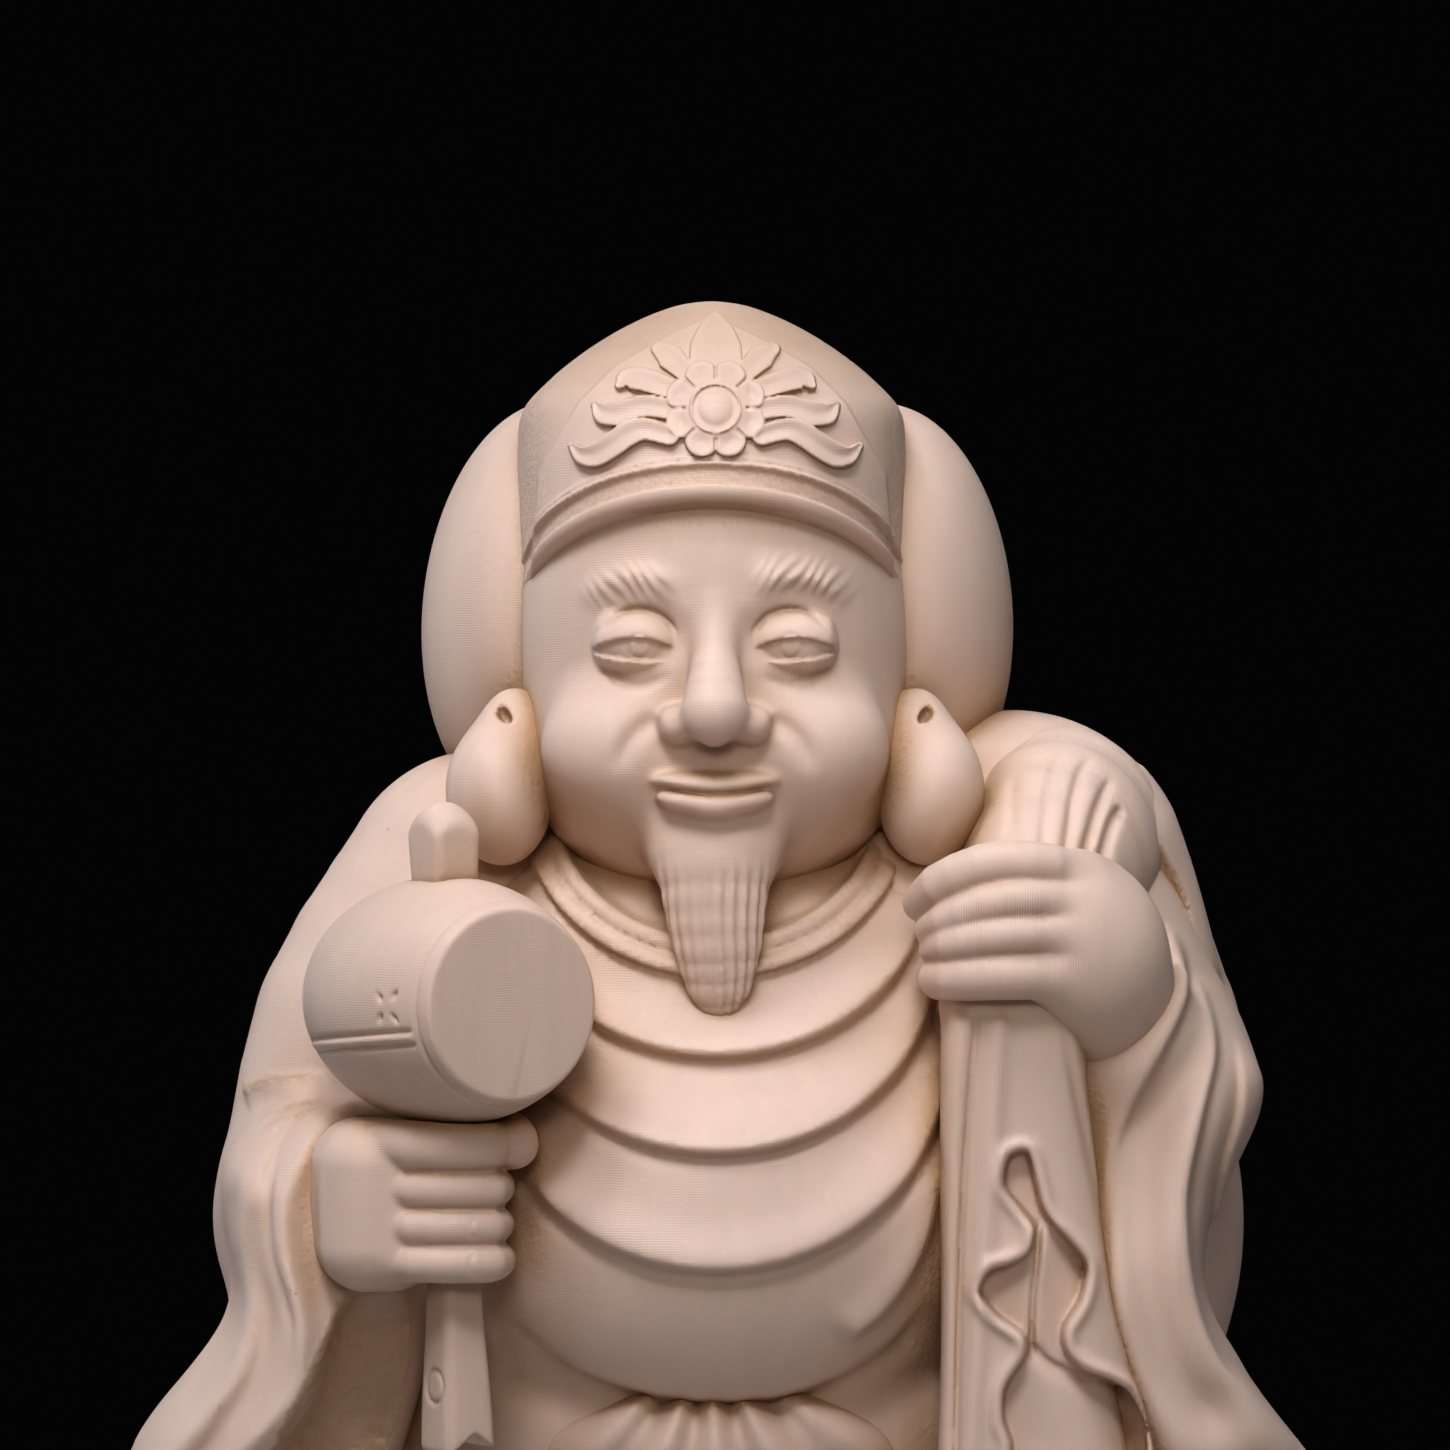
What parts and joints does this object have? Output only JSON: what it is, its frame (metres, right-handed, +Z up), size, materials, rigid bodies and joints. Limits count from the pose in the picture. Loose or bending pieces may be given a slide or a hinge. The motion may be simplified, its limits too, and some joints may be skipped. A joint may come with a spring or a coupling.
{
  "type": "carved wooden daikoku figure",
  "caption": "Carved wooden standing figure in a round hat and draped robe, holding a mallet and the neck of a sack, on straw bales and a low slab.",
  "frame": {"origin": "middle of the slab's underside", "axes": "+Z up, -Y the way the figure faces, +X towards the figure's left hand"},
  "size_m": [0.1694, 0.1296, 0.271],
  "materials": {
    "figure_wood": "bare pale boxwood, fine carving-tool lines",
    "mallet_wood": "bare pale boxwood, end grain on the faces",
    "handle_wood": "bare pale boxwood, grain along the stick",
    "base_wood": "bare pale boxwood, carved straw and rope"
  },
  "bodies": {
    "root": {"figure": "figure_wood", "mallet_head": "mallet_wood", "mallet_handle": "handle_wood", "bale_base": "base_wood"}
  },
  "joints": []
}
